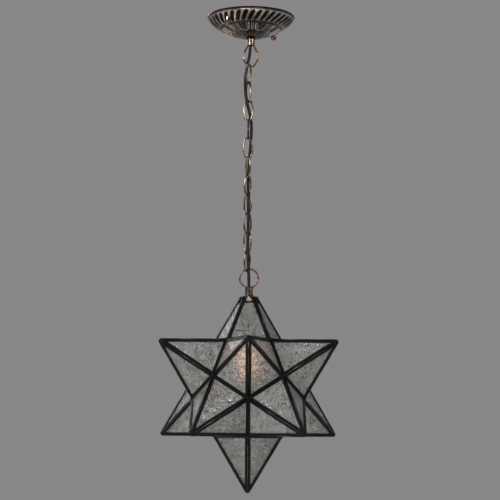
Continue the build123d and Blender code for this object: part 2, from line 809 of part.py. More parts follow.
# Power cord: threaded tube, loop, then beside and through the links to the star's tube
cord_route = [
    (0, 0, -cord_top_in_canopy),
    (0, 0, -63.2),
    (-6.7, 7.4, -87.8),
    (-10.5, -0.4, -120.7),
    (-7.3, -7.7, -154.6),
    (2.7, 7.1, -188.6),
    (2, 4.9, -222.5),
    (-1, 4.7, -256.5),
    (-3.3, 10.7, -290.5),
    (-2.7, -9.4, -324.4),
    (-2, -7.8, -358.3),
    (-2.5, -6.5, -392.3),
    (-3.2, -6.9, -426.2),
    (-1.2, -6.1, -458.8),
    (0, 0, -478.4),
    (0, 0, socket_bore_end),
]
cord_corners = [Vector(*point) for point in cord_route]
cord_radii = []
for before, here, after in zip(cord_corners, cord_corners[1:], cord_corners[2:]):
    turn = radians((here - before).get_angle(after - here))
    shorter = min((here - before).length, (after - here).length)
    cord_radii.append(0.45 * shorter / tan(turn / 2))
print("cord radii", [round(radius) for radius in cord_radii])
with BuildPart() as power_cord:
    with BuildLine() as cord_path:
        FilletPolyline(*cord_route, radius=cord_radii)
    with BuildSketch(Plane.XY.offset(-cord_top_in_canopy)):
        Circle(cord_diameter / 2)
    sweep()
cord_length = sum(edge.length for edge in cord_path.edges())
cord_section = pi * cord_diameter**2 / 4
print("cord length", round(cord_length, 1), "volume ratio", power_cord.part.volume / (cord_section * cord_length))
finish(power_cord.part, "power_cord")

# Bared leads from the cord's end: two to the ceiling wires, one to the ground screw
lead_height = canopy_strap_bottom - ground_head_height / 2 - fit_gap
with BuildPart() as supply_leads:
    with BuildSketch(Plane.XY.offset(-cord_top_in_canopy)):
        with PolarLocations(lead_spread, 2, start_angle=stud_angle + 120, angular_range=120, endpoint=True):
            Circle(lead_diameter / 2)
    extrude(amount=cord_top_in_canopy - lead_end_setback)

lead_start = strap_turn.from_local_coords(Vector(lead_spread, 0, -cord_top_in_canopy))
lead_corner = strap_turn.from_local_coords(Vector(lead_spread, 0, lead_height))
lead_tip = strap_turn.from_local_coords(
    Vector(ground_screw_offset - ground_head_radius - fit_gap, 0, lead_height)
)
with BuildPart() as ground_lead:
    with BuildLine():
        FilletPolyline(lead_start, lead_corner, lead_tip, radius=lead_bend_radius)
    with BuildSketch(Plane(origin=lead_start, z_dir=(0, 0, 1))):
        Circle(lead_diameter / 2)
    sweep()
finish(group([supply_leads.part, ground_lead.part]), "cord_leads")
print("heights", first_link_height, ring_centre, star_centre)
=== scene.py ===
import math
from itertools import combinations
import bmesh
import bpy
from mathutils import Matrix, Vector, noise


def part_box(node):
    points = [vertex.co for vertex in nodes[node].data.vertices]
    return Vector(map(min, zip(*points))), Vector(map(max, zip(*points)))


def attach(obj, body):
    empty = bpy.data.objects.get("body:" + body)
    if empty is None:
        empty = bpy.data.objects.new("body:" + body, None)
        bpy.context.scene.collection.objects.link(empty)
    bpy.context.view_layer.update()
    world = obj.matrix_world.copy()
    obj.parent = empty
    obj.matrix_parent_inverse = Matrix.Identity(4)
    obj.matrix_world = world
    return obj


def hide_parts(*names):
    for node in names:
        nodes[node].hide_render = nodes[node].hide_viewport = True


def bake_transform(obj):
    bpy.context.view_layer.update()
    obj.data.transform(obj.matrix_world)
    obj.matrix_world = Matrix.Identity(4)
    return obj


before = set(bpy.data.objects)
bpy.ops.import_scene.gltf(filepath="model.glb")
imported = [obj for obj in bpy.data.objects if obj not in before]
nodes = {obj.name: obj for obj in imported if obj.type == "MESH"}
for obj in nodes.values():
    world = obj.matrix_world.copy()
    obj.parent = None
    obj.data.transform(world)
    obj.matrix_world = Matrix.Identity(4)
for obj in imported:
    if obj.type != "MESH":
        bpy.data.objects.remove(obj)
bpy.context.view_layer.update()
scene = bpy.context.scene
print("frame loaded")

# camera, matched to the photograph; angles in degrees
cameraPlan = {
    "place": (0.00135, -2.8, -0.7413),
    "pitch": 6.481,
    "roll": 0.42,
    "lens": 114.12,
    "sensor": 36,
    "farthest": 60,
}
cameraData = bpy.data.cameras.new("photoCamera")
cameraData.sensor_width = cameraPlan["sensor"]
cameraData.lens = cameraPlan["lens"]
cameraData.clip_end = cameraPlan["farthest"]
camera = bpy.data.objects.new("photoCamera", cameraData)
scene.collection.objects.link(camera)
cameraTurn = Matrix.Rotation(math.radians(90 + cameraPlan["pitch"]), 4, "X")
cameraTurn = cameraTurn @ Matrix.Rotation(math.radians(cameraPlan["roll"]), 4, "Z")
camera.matrix_world = Matrix.Translation(cameraPlan["place"]) @ cameraTurn
scene.camera = camera


def newMaterial(name):
    material = bpy.data.materials.new(name)
    material.use_nodes = True
    tree = material.node_tree
    shader = tree.nodes["Principled BSDF"]
    return material, tree, shader


def addNode(tree, kind, **values):
    node = tree.nodes.new(kind)
    for key, value in values.items():
        if key in node.inputs:
            node.inputs[key].default_value = value
        else:
            setattr(node, key, value)
    return node


def objectPlace(tree):
    return addNode(tree, "ShaderNodeTexCoord").outputs["Object"]


def noiseOn(tree, place, scale, detail, rough, twist=0.0):
    texture = addNode(tree, "ShaderNodeTexNoise", Scale=scale, Detail=detail, Roughness=rough, Distortion=twist)
    tree.links.new(place, texture.inputs["Vector"])
    return texture.outputs["Fac"]


def rampOn(tree, source, stops):
    # each stop is a position with a colour or a plain number
    ramp = addNode(tree, "ShaderNodeValToRGB")
    elements = ramp.color_ramp.elements
    while len(elements) < len(stops):
        elements.new(0.5)
    for element, (position, colour) in zip(elements, stops):
        element.position = position
        element.color = (*colour, 1) if isinstance(colour, tuple) else (colour, colour, colour, 1)
    tree.links.new(source, ramp.inputs["Fac"])
    return ramp.outputs["Color"]


def multiplied(tree, first, second):
    mix = addNode(tree, "ShaderNodeMix", data_type="RGBA", blend_type="MULTIPLY")
    mix.inputs[0].default_value = 1.0
    tree.links.new(first, mix.inputs[6])
    tree.links.new(second, mix.inputs[7])
    return mix.outputs[2]


def bumpOn(tree, shader, source, distance, strength):
    bump = addNode(tree, "ShaderNodeBump", Distance=distance, Strength=strength)
    tree.links.new(source, bump.inputs["Height"])
    tree.links.new(bump.outputs["Normal"], shader.inputs["Normal"])


# metals: a worn colour over a dark one in blotches, with fine grain; on the carved bronze the colour also
# follows the carving, with painted shade and painted highlight
metalPlans = {
    "bronze": {
        "blotch": (140, 5, 0.6),
        "stops": [(0.36, (0.040, 0.026, 0.020)), (0.68, (0.25, 0.18, 0.135))],
        "rough": (0.18, 0.34),
    },
    "bronzeCarved": {
        "blotch": (140, 5, 0.6),
        # the first stop is patina with painted shade in the hollows, the last a near-white painted highlight on
        # the high places
        "stops": [(0.34, (0.020, 0.014, 0.012)), (0.66, (0.11, 0.084, 0.070)),
                  (0.80, (0.11, 0.084, 0.070)), (0.98, (0.72, 0.62, 0.54))],
        "rough": (0.18, 0.34),
        "carving": "relief",
        "blotchShare": 0.30,
        "patches": (26, 2, 0.5),
        "patchStops": [(0.40, 0.32), (0.60, 1.0)],
    },
    "chain": {
        "blotch": (48, 1.5, 0.5),
        "stops": [(0.39, (0.018, 0.014, 0.011)), (0.77, (0.44, 0.35, 0.25))],
        "rough": (0.16, 0.32),
    },
    "zinc": {
        "blotch": (140, 5, 0.6),
        "stops": [(0.29, (0.55, 0.55, 0.53)), (0.67, (0.82, 0.82, 0.80))],
        "rough": (0.18, 0.34),
    },
    "brass": {
        "blotch": (140, 5, 0.6),
        "stops": [(0.29, (0.36, 0.24, 0.09)), (0.67, (0.83, 0.62, 0.29))],
        "rough": (0.20, 0.36),
    },
}
metalGrain = {"noise": (900, 2, 0.5), "from": 0.3, "to": 0.7, "bump": (0.00012, 0.5)}


def metalFinish(name):
    plan = metalPlans[name]
    material, tree, shader = newMaterial(name)
    place = objectPlace(tree)
    wearAndPaintedLight = noiseOn(tree, place, *plan["blotch"])
    if "carving" in plan:  # painted light from the carving: the hollows darken, partly patina and partly painted shade, and the high places turn near-white, partly wear and partly painted highlight
        height = addNode(tree, "ShaderNodeAttribute", attribute_name=plan["carving"]).outputs["Fac"]
        raised = addNode(tree, "ShaderNodeMath", operation="MULTIPLY_ADD")
        raised.inputs[1].default_value = plan["blotchShare"]
        tree.links.new(wearAndPaintedLight, raised.inputs[0])
        tree.links.new(height, raised.inputs[2])
        wearAndPaintedLight = raised.outputs[0]
    colour = rampOn(tree, wearAndPaintedLight, plan["stops"])
    if "patches" in plan:
        patches = rampOn(tree, noiseOn(tree, place, *plan["patches"]), plan["patchStops"])
        colour = multiplied(tree, colour, patches)
    tree.links.new(colour, shader.inputs["Base Color"])
    grain = noiseOn(tree, place, *metalGrain["noise"])
    smoothest, roughest = plan["rough"]
    rough = rampOn(tree, grain, [(metalGrain["from"], smoothest), (metalGrain["to"], roughest)])
    tree.links.new(rough, shader.inputs["Roughness"])
    shader.inputs["Metallic"].default_value = 1.0
    bumpOn(tree, shader, grain, *metalGrain["bump"])
    return material


# other solid finishes: one grain gives the colour, the bump and sometimes the roughness
grainedPlans = {
    "blackCame": {
        "grain": (320, 3, 0.55),
        "stops": [(0.35, (0.0012, 0.0012, 0.0016)), (0.75, (0.006, 0.006, 0.0065))],
        "roughStops": [(0.3, 0.42), (0.7, 0.60)],
        "sockets": {"Specular IOR Level": 0.10},
        "bump": (0.0006, 0.45),
    },
    "solderBead": {
        "grain": (420, 3, 0.55),
        "stops": [(0.35, (0.010, 0.010, 0.011)), (0.72, (0.060, 0.058, 0.060))],
        "sockets": {"Metallic": 1.0, "Roughness": 0.20},
        "bump": (0.0003, 0.4),
    },
    "cordSkin": {
        "grain": (260, 4, 0.6),
        "stops": [(0.35, (0.005, 0.004, 0.005)), (0.7, (0.018, 0.015, 0.016))],
        "sockets": {"Roughness": 0.46, "Specular IOR Level": 0.12},
        "bump": (0.0001, 0.4),
    },
    "leadSkin": {
        "grain": (300, 4, 0.6),
        "stops": [(0.35, (0.015, 0.015, 0.016)), (0.7, (0.040, 0.040, 0.042))],
        "sockets": {"Roughness": 0.45, "Specular IOR Level": 0.12},
        "bump": (0.0001, 0.4),
    },
    "socketShell": {
        "grain": (220, 4, 0.6),
        "stops": [(0.35, (0.010, 0.010, 0.011)), (0.7, (0.030, 0.028, 0.027))],
        "sockets": {"Roughness": 0.35, "Coat Weight": 0.2, "Specular IOR Level": 0.12},
        "bump": (0.0001, 0.4),
    },
    "socketSleeve": {
        "grain": (500, 4, 0.6),
        "stops": [(0.35, (0.035, 0.028, 0.024)), (0.7, (0.085, 0.070, 0.058))],
        "sockets": {"Roughness": 0.60, "Specular IOR Level": 0.12},
        "bump": (0.0001, 0.4),
    },
    "bulbFrost": {
        "grain": (60, 2, 0.5),
        "stops": [(0.3, (0.95, 0.74, 0.48)), (0.7, (1.0, 0.88, 0.66))],
        "sockets": {"Roughness": 0.35, "Transmission Weight": 0.25,
                    "Emission Color": (1.0, 0.50, 0.27, 1), "Emission Strength": 0.26},
    },
}


def grainedFinish(name):
    plan = grainedPlans[name]
    material, tree, shader = newMaterial(name)
    grain = noiseOn(tree, objectPlace(tree), *plan["grain"])
    tree.links.new(rampOn(tree, grain, plan["stops"]), shader.inputs["Base Color"])
    if "roughStops" in plan:
        tree.links.new(rampOn(tree, grain, plan["roughStops"]), shader.inputs["Roughness"])
    for socket, value in plan["sockets"].items():
        shader.inputs[socket].default_value = value
    if "bump" in plan:
        bumpOn(tree, shader, grain, *plan["bump"])
    return material


# glass: faint tints, dark marks and a rippled surface
glassPlan = {
    "tint": (14, 1.5, 0.5),
    "tintStops": [(0.32, (0.80, 0.78, 0.75)), (0.46, (1.0, 0.975, 0.94)),
                  (0.56, (0.965, 0.965, 0.93)), (0.68, (1.0, 0.955, 0.945))],
    "marks": (215, 3.0, 0.6, 1.8),
    "markStops": [(0.40, 1.0), (0.45, 0.05), (0.48, 0.05), (0.53, 1.0)],
    "ripples": (230, 2, 0.5, 1.2),
    "bump": (0.0012, 1.0),
    "rough": 0.06,
    "bending": 1.3,
    "through": 0.90,
    "shadow": (0.72, 0.72, 0.70, 1),
}


def glassFinish():
    plan = glassPlan
    material, tree, shader = newMaterial("rippledGlass")
    place = objectPlace(tree)
    tint = rampOn(tree, noiseOn(tree, place, *plan["tint"]), plan["tintStops"])
    marks = rampOn(tree, noiseOn(tree, place, *plan["marks"]), plan["markStops"])
    tree.links.new(multiplied(tree, tint, marks), shader.inputs["Base Color"])
    shader.inputs["Roughness"].default_value = plan["rough"]
    shader.inputs["IOR"].default_value = plan["bending"]
    shader.inputs["Transmission Weight"].default_value = plan["through"]
    bumpOn(tree, shader, noiseOn(tree, place, *plan["ripples"]), *plan["bump"])
    # light from the lamps passes the glass on its way to what is inside
    clear = addNode(tree, "ShaderNodeBsdfTransparent", Color=plan["shadow"])
    rays = addNode(tree, "ShaderNodeLightPath")
    mix = addNode(tree, "ShaderNodeMixShader")
    tree.links.new(rays.outputs["Is Shadow Ray"], mix.inputs[0])
    tree.links.new(shader.outputs[0], mix.inputs[1])
    tree.links.new(clear.outputs[0], mix.inputs[2])
    tree.links.new(mix.outputs[0], tree.nodes["Material Output"].inputs["Surface"])
    return material


bronze, bronzeCarved, chainMetal, zinc, brass = (metalFinish(name) for name in metalPlans)
(blackCame, solderBead, cordSkin, leadSkin, socketShell, socketSleeve,
 bulbFrost) = (grainedFinish(name) for name in grainedPlans)
rippledGlass = glassFinish()

linkCount = 11
linkNumbers = ["%02d" % (number + 1) for number in range(linkCount)]
finishOf = {
    blackCame: ["ridge_came_top", "ridge_came_upper", "ridge_came_lower", "ridge_came_bottom", "valley_came",
                "door_opening_rails", "door_came", "solder_tips", "door_solder_tip", "hinge_leaf_fixed",
                "hinge_leaf_door", "hinge_pin", "door_catch"],
    bronze: ["canopy", "canopy_loop", "star_loop", "check_ring", "star_cap", "ball_nut_front",
             "ball_nut_rear"],
    chainMetal: ["chain_link_" + number for number in linkNumbers],
    zinc: ["box_strap", "canopy_strap", "stud_nuts", "star_washer", "star_nut", "star_nipple",
           "canopy_nipple", "canopy_nut", "canopy_studs"],
    brass: ["strap_eyelet", "ground_screw", "bulb_base"],
    rippledGlass: [name for name in nodes if name.startswith("glass_")],
    cordSkin: ["power_cord"],
    leadSkin: ["cord_leads"],
    socketShell: ["socket_body"],
    socketSleeve: ["socket_sleeve"],
    bulbFrost: ["bulb_glass"],
}
for material, names in finishOf.items():
    for name in names:
        slots = nodes[name].data.materials
        slots.clear()
        slots.append(material)
print("materials made")


def putPiece(name, bm, material, smooth=True):
    # smooth is None where the mesh already says which of its faces are
    mesh = bpy.data.meshes.new(name)
    bm.to_mesh(mesh)
    bm.free()
    mesh.materials.append(material)
    if smooth is not None:
        for polygon in mesh.polygons:
            polygon.use_smooth = smooth
    piece = bpy.data.objects.new(name, mesh)
    scene.collection.objects.link(piece)
    return piece


# cord: one smooth line through the chain, cut into pieces at the middle height of each link; route in mm
cordPlan = {
    "thick": 0.0055,
    "route": [(0, 0, -14), (0, 0, -63.2), (-6.7, 7.4, -87.8), (-10.5, -0.4, -120.7), (-7.3, -7.7, -154.6),
              (2.7, 7.1, -188.6), (2, 4.9, -222.5), (-1, 4.7, -256.5), (-3.3, 10.7, -290.5),
              (-2.7, -9.4, -324.4), (-2, -7.8, -358.3), (-2.5, -6.5, -392.3), (-3.2, -6.9, -426.2),
              (-1.2, -6.1, -458.8), (0, 0, -478.4), (0, 0, -522.89)],
    "smoothness": 16,
    "sides": 16,
    "leaves": -0.068,
    "enters": -0.480,
    "bendInset": Vector((0, 0, 0.002)),
}


def splinePoints(points):
    data = bpy.data.curves.new("routeLine", "CURVE")
    data.dimensions = "3D"
    data.resolution_u = cordPlan["smoothness"]
    spline = data.splines.new("NURBS")
    spline.points.add(len(points) - 1)
    for spot, point in zip(spline.points, points):
        spot.co = (*[value / 1000 for value in point], 1)
    spline.order_u = 3
    spline.use_endpoint_u = True
    line = bpy.data.objects.new("routeLine", data)
    mesh = bpy.data.meshes.new_from_object(line)
    found = [vertex.co.copy() for vertex in mesh.vertices]
    bpy.data.objects.remove(line)
    return found


def tubeAlong(name, points, radius, material, sides):
    data = bpy.data.curves.new(name, "CURVE")
    data.dimensions = "3D"
    data.bevel_depth = radius
    data.bevel_resolution = sides // 2 - 2
    data.use_fill_caps = True
    spline = data.splines.new("POLY")
    spline.points.add(len(points) - 1)
    for spot, point in zip(spline.points, points):
        spot.co = (*point, 1)
    line = bpy.data.objects.new(name + "Line", data)
    mesh = bpy.data.meshes.new_from_object(line)
    bpy.data.objects.remove(line)
    mesh.name = name
    mesh.materials.clear()
    mesh.materials.append(material)
    for polygon in mesh.polygons:
        polygon.use_smooth = len(polygon.vertices) == 4  # the end caps stay flat
    piece = bpy.data.objects.new(name, mesh)
    scene.collection.objects.link(piece)
    return piece


def cutAt(points, high, low):
    # the stretch of a falling line between two heights, with its ends on them
    found = []
    for here, after in zip(points, points[1:]):
        for height in (high, low):
            if here.z > height >= after.z:
                found.append(here.lerp(after, (here.z - height) / (here.z - after.z)))
        if low < after.z < high:
            found.append(after)
    return found


def lineLength(points):
    return sum((after - here).length for here, after in zip(points, points[1:]))


linkMiddles = []
for number in linkNumbers:
    low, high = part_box("chain_link_" + number)
    linkMiddles.append((low.z + high.z) / 2)
cordLine = splinePoints(cordPlan["route"])
cordCuts = [cordLine[0].z, cordPlan["leaves"]] + linkMiddles + [cordPlan["enters"], cordLine[-1].z]
cordTotal = 0
for number, (high, low) in enumerate(zip(cordCuts, cordCuts[1:])):
    points = cutAt(cordLine, high, low)
    if number == 0:
        points.insert(0, cordLine[0])
    piece = tubeAlong("cord_%02d" % (number + 1), points, cordPlan["thick"] / 2, cordSkin, cordPlan["sides"])
    if number == 0:
        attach(piece, "canopy")
        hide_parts("power_cord")
    elif number == len(cordCuts) - 2:
        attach(piece, "star")
    else:
        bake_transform(piece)
    stretch = lineLength(points)
    cordTotal += stretch
print("cord length", round(cordTotal, 4))

# leads from the cord's end to the house wires and the ground screw; routes in mm
leadPlan = {
    "thick": 0.002,
    "sides": 12,
    "routes": [
        [(-1.48, 0.24, -14), (-1.48, 0.24, -9), (-1.48, 0.24, -4), (-1.48, 0.24, -0.5)],
        [(0.53, -1.4, -14), (0.53, -1.4, -9), (0.53, -1.4, -4), (0.53, -1.4, -0.5)],
        [(0.94, 1.17, -14), (0.94, 1.17, -9), (0.94, 1.17, -6.6), (2.2, 2.7, -5.05), (6, 7.4, -5.05),
         (11.2, 13.8, -5.05)],
    ],
}
for number, route in enumerate(leadPlan["routes"]):
    piece = tubeAlong("lead_%d" % (number + 1), splinePoints(route), leadPlan["thick"] / 2, leadSkin,
                      leadPlan["sides"])
    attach(piece, "canopy")
    if number == 0:
        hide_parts("cord_leads")
print("cord and leads made")


# star: it has a point on each face of a dodecahedron, and each point has five panes
starPlan = {
    "acrossPoints": 0.305,
    "blunting": 0.0077,
    "topPlane": 0.160,
    "topGap": 0.0085,
    "came": 0.001,
    "ridgeInset": 0.0023,
    "valleyInset": 0.0009,
    "tipSetback": 0.009,
    "glass": 0.003,
    "rows": (40, 22),
    "ripple": 0.00022,
    "rippleSize": 0.0062,
    "fineRipple": {"share": 0.5, "finer": 2.1},
    "flatTurn": 0.6,
    "hinged": "upper_144",
}
golden = (1 + math.sqrt(5)) / 2
halfCorner = math.radians(18)  # half of the angle at the head of a pane
tipReach = starPlan["acrossPoints"] * math.sqrt(5) / (4 * math.sin(math.radians(72)))
sharpReach = tipReach + starPlan["blunting"]
faceDistance = sharpReach / math.sqrt(5)
pointInFace = 2 * faceDistance
baseCircle = (sharpReach - faceDistance) / golden
valleyInFace = baseCircle * math.cos(math.radians(36))
cameScale = (faceDistance - starPlan["came"]) / faceDistance
starCentre = Vector((0, 0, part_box("star_cap")[0].z - starPlan["topPlane"]))


def tipDirection(azimuth, height):
    if abs(height) == 1:
        return Vector((0, 0, height))
    turn = math.radians(azimuth)
    spread = 2 / math.sqrt(5)
    return Vector((spread * math.sin(turn), -spread * math.cos(turn), height * 2 / math.sqrt(5)))


tips = {"top": tipDirection(0, 1), "bottom": tipDirection(0, -1)}
for azimuth in range(0, 360, 72):
    tips["upper_%d" % azimuth] = tipDirection(azimuth, 0.5)
    tips["lower_%d" % (azimuth + 36)] = tipDirection(azimuth + 36, -0.5)


def nextTo(first, second):
    # the cosine between two points is 0.447 side by side, and negative across the star
    return first.dot(second) > 0.1


def neighbours(name):
    return [other for other in tips if other != name and nextTo(tips[name], tips[other])]


def bodyOf(name):
    return "door" if name == starPlan["hinged"] else "star"


def faceMatrix(name, other):
    # x runs up the pane to its point, z points out of the star
    outwards = tips[other]
    upwards = (tips[name] - outwards * tips[name].dot(outwards)).normalized()
    across = outwards.cross(upwards)
    turn = Matrix((upwards, across, outwards)).transposed().to_4x4()
    return Matrix.Translation(starCentre + outwards * faceDistance) @ turn


def halfWidth(along, inset, scale=1.0):
    # half width of a pane's face at a height, less an inset square to the ridge
    run = pointInFace * scale - along
    return (run * math.sin(halfCorner) - inset) / math.cos(halfCorner)


def alongAt(reach):
    # height in a pane's face of a place on the point's axis
    return (reach - faceDistance / math.sqrt(5)) * math.sqrt(5) / 2


def facesOf(verts):
    return list({face for vertex in verts for face in vertex.link_faces})


def makePanes(name, reach):
    plan = starPlan
    foot = valleyInFace * cameScale + plan["valleyInset"]
    head = alongAt(reach) * cameScale
    fine = plan["fineRipple"]
    rows, columns = plan["rows"]
    bm = bmesh.new()
    ready = bm.verts.layers.int.new("ready")
    for other in neighbours(name):
        made = bmesh.ops.create_grid(bm, x_segments=rows, y_segments=columns, size=0.5)["verts"]
        for vertex in made:
            along = foot + (head - foot) * (vertex.co.x + 0.5)
            vertex.co.y *= 2 * halfWidth(along, plan["ridgeInset"], cameScale)
            vertex.co.x = along
            vertex.co.z = -plan["came"]
        bmesh.ops.solidify(bm, geom=facesOf(made), thickness=plan["glass"])
        everything = [vertex for vertex in bm.verts if not vertex[ready]]
        highest = max(vertex.co.z for vertex in everything)
        place = faceMatrix(name, other)
        for vertex in everything:
            vertex[ready] = 1
            vertex.co.z -= highest + plan["came"]
            spot = (place @ vertex.co) / plan["rippleSize"]
            wave = noise.noise(spot) + fine["share"] * noise.noise(spot * fine["finer"])
            inner = vertex.co.z < -plan["came"] - plan["glass"] / 2
            vertex.co.z += plan["ripple"] * (1 + wave) * (1 if inner else -1)
        bmesh.ops.transform(bm, matrix=place, verts=everything)
        bm.normal_update()
        for face in facesOf(everything):
            face.smooth = abs(face.normal.dot(tips[other])) > plan["flatTurn"]
    bmesh.ops.recalc_face_normals(bm, faces=bm.faces[:])
    return bm


for name in tips:
    reach = tipReach - starPlan["tipSetback"]
    if name == "top":
        reach = starPlan["topPlane"] - starPlan["topGap"]
    piece = putPiece("panes_" + name, makePanes(name, reach), rippledGlass, smooth=None)
    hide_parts("glass_" + name)
    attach(piece, bodyOf(name))
print("panes made")

# leading: strips on the cames with a bead on each ridge, knots where they meet, and solder on the points
leadingPlan = {
    "ridge": 0.0056,
    "valley": 0.0036,
    "proud": 0.0002,
    "deep": 0.0013,
    "tipSetback": 0.002,
    "apexGap": 0.0001,
    "hingeGap": 0.0022,
    "bead": 0.0011,
    "beadSink": 0.0006,
    "beadSides": 12,
}


def makeLeading(name, reach):
    plan = leadingPlan
    foot, end = valleyInFace, alongAt(reach)
    apex = pointInFace - plan["ridge"] / math.sin(halfCorner)
    cutShort = end < apex  # the top point is cut before its strips meet
    inner = end if cutShort else apex - plan["apexGap"]
    bm = bmesh.new()
    ready = bm.verts.layers.int.new("ready")
    for other in neighbours(name):
        hinged = starPlan["hinged"] in (name, other)
        bottom = foot + (plan["hingeGap"] if hinged else 0)
        innerFoot = bottom if hinged else foot + plan["valley"]
        outside, inside = [
            [bm.verts.new((along, side * halfWidth(along, inset), 0))
             for along, side in ((low, -1), (high, -1), (high, 1), (low, 1))]
            for low, high, inset in ((bottom, end, 0), (innerFoot, inner, plan["ridge"]))]
        bm.faces.new((outside[0], outside[1], inside[1], inside[0]))
        bm.faces.new((inside[3], inside[2], outside[2], outside[3]))
        if not hinged:
            bm.faces.new((outside[3], outside[0], inside[0], inside[3]))
        if not cutShort:
            bm.faces.new((inside[1], outside[1], outside[2], inside[2]))
        faces = facesOf(outside + inside)
        bmesh.ops.recalc_face_normals(bm, faces=faces)
        bmesh.ops.solidify(bm, geom=faces, thickness=plan["deep"])
        everything = [vertex for vertex in bm.verts if not vertex[ready]]
        highest = max(vertex.co.z for vertex in everything)
        place = faceMatrix(name, other)
        for vertex in everything:
            vertex[ready] = 1
            vertex.co.z += plan["proud"] - highest
        bmesh.ops.transform(bm, matrix=place, verts=everything)
        # one bead a ridge, on the side that each pane shares with the next
        ends = [place @ Vector((along, halfWidth(along, 0), 0)) for along in (foot, end)]
        middle = ends[0].lerp(ends[1], 0.5)
        line = ends[1] - ends[0]
        turn = line.to_track_quat("Z", "Y").to_matrix().to_4x4()
        sink = (starCentre - middle).normalized() * plan["beadSink"]
        bead = bmesh.ops.create_cone(bm, cap_ends=True, segments=plan["beadSides"], radius1=plan["bead"],
                                     radius2=plan["bead"], depth=line.length,
                                     matrix=Matrix.Translation(middle + sink) @ turn)["verts"]
        for vertex in bead:
            vertex[ready] = 1
        for face in facesOf(bead):
            face.material_index = 1
            face.smooth = len(face.verts) == 4
    bmesh.ops.recalc_face_normals(bm, faces=bm.faces[:])
    return bm


for name in tips:
    reach = starPlan["topPlane"] if name == "top" else tipReach - leadingPlan["tipSetback"]
    piece = putPiece("leading_" + name, makeLeading(name, reach), blackCame, smooth=None)
    piece.data.materials.append(solderBead)
    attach(piece, bodyOf(name))

# solder: a knot in each hollow where three points meet, and a rounded end on each point but the top
solderPlan = {
    "knot": 0.0046,
    "knotSink": 0.0022,
    "knotFineness": 3,
    "tipStart": 0.1690,
    "tipEnd": 0.1826,
    "tipSpare": 0.0010,
    "tipRound": 0.0019,
    "tipFineness": 3,
}


def makeKnots():
    plan = solderPlan
    bm = bmesh.new()
    for trio in combinations(tips, 3):
        three = [tips[name] for name in trio]
        meet = all(nextTo(first, second) for first, second in combinations(three, 2))
        if not meet or starPlan["hinged"] in trio:
            continue
        outwards = (three[0] + three[1] + three[2]).normalized()
        corner = starCentre + outwards * (faceDistance / outwards.dot(three[0]) - plan["knotSink"])
        bmesh.ops.create_icosphere(bm, subdivisions=plan["knotFineness"], radius=plan["knot"],
                                   matrix=Matrix.Translation(corner))
    return bm


knots = putPiece("solderKnots", makeKnots(), blackCame)
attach(knots, "star")


def makeTip(name):
    plan = solderPlan
    bm = bmesh.new()
    low, high = ((sharpReach - reach) / golden + plan["tipSpare"]
                 for reach in (plan["tipStart"], plan["tipEnd"]))
    bmesh.ops.create_cone(bm, cap_ends=True, segments=5, radius1=low, radius2=high,
                          depth=plan["tipEnd"] - plan["tipStart"])
    bmesh.ops.bevel(bm, geom=bm.edges[:], offset=plan["tipRound"], offset_type="OFFSET", affect="EDGES",
                    segments=plan["tipFineness"], profile=0.5, material=-1)
    axis = tips[name]
    # a corner of the cone's foot lies on a ridge of the point
    ridge = min((tips[other] for other in neighbours(name)), key=lambda way: round(way.z, 4))
    across = (ridge - axis * axis.dot(ridge)).normalized()
    turn = Matrix((across, axis.cross(across), axis)).transposed().to_4x4()
    turn = turn @ Matrix.Rotation(math.radians(18), 4, "Z")
    middle = starCentre + axis * (plan["tipStart"] + plan["tipEnd"]) / 2
    bmesh.ops.transform(bm, matrix=Matrix.Translation(middle) @ turn, verts=bm.verts[:])
    bmesh.ops.recalc_face_normals(bm, faces=bm.faces[:])
    return bm


for name in tips:
    if name == "top":
        continue
    piece = putPiece("solderTip_" + name, makeTip(name), blackCame)
    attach(piece, bodyOf(name))
print("leading made")


# canopy: three carved bands, spun and then pressed in and out; in mm
canopyPlan = {
    "radius": 78.7,
    "wall": 1.2,
    "rim": ((0, 0), (0, -1.2), (-0.3, -2.2)),
    "outer": ((77.5, -2.4), (57, -20.5), 2.0, 24),
    "middle": ((55.5, -22), (30, -32.5), 1.6, 22),
    "inner": ((28.5, -34), (12, -38.2), 0.3, 14),
    "neck": ((9, -38.4), (9, -40.5), (5.0, -40.5), (5.0, -39.3), (7.8, -39.3), (7.8, -37.4)),
    "insideSteps": 6,
    "steps": 720,
    "reliefMiddle": 0.5,
    "reliefRange": 2.4,
}
flutePlan = {"count": 36, "twist": 0.9, "depth": 2.0, "wide": 0.37, "roundFrom": 0.30, "roundStart": 0.20,
             "roundTo": 0.80, "roundEnd": 0.14, "rest": 0.34, "fade": 14}
shieldPlan = {"count": 9, "turn": 0.175, "depth": 2.2, "wide": 0.32, "roundFrom": 0.42, "round": 0.46,
              "body": 0.55, "bodyWide": 0.48, "rimWide": 0.13, "secondRim": 0.66, "secondWide": 0.10,
              "secondHigh": 0.9, "strip": 0.9, "stripPlace": 0.455, "stripWide": 0.022, "stripEnd": 0.88,
              "rest": 0.45, "fade": 9}
petalPlan = {"count": 18, "depth": 1.3, "round": 0.7, "rest": 0.6, "edge": 0.02, "fade": 0.5}


def bowedRun(start, end, bulge, count):
    (r0, z0), (r1, z1) = start, end
    length = math.hypot(r1 - r0, z1 - z0)
    out = ((z0 - z1) / length, (r1 - r0) / length)
    found = []
    for index in range(count + 1):
        share = index / count
        lift = bulge * 4 * share * (1 - share)
        r, z = r0 + (r1 - r0) * share + out[0] * lift, z0 + (z1 - z0) * share + out[1] * lift
        found.append((r, z, share, out))
    return found


def ridgeLike(distance, wide):
    return math.exp(-(distance / wide) ** 2)


def fluteHeight(share, turn):
    # a hollow with round ends between narrow ribs
    plan = flutePlan
    across = (turn * plan["count"] + plan["twist"] * share) % 1 - 0.5
    far = math.hypot(across / plan["wide"], max(0, plan["roundFrom"] - share) / plan["roundStart"],
                     max(0, share - plan["roundTo"]) / plan["roundEnd"])
    height = plan["rest"] - max(0, 1 - far * far)
    return plan["depth"] * height * min(1, plan["fade"] * share, plan["fade"] * (1 - share))


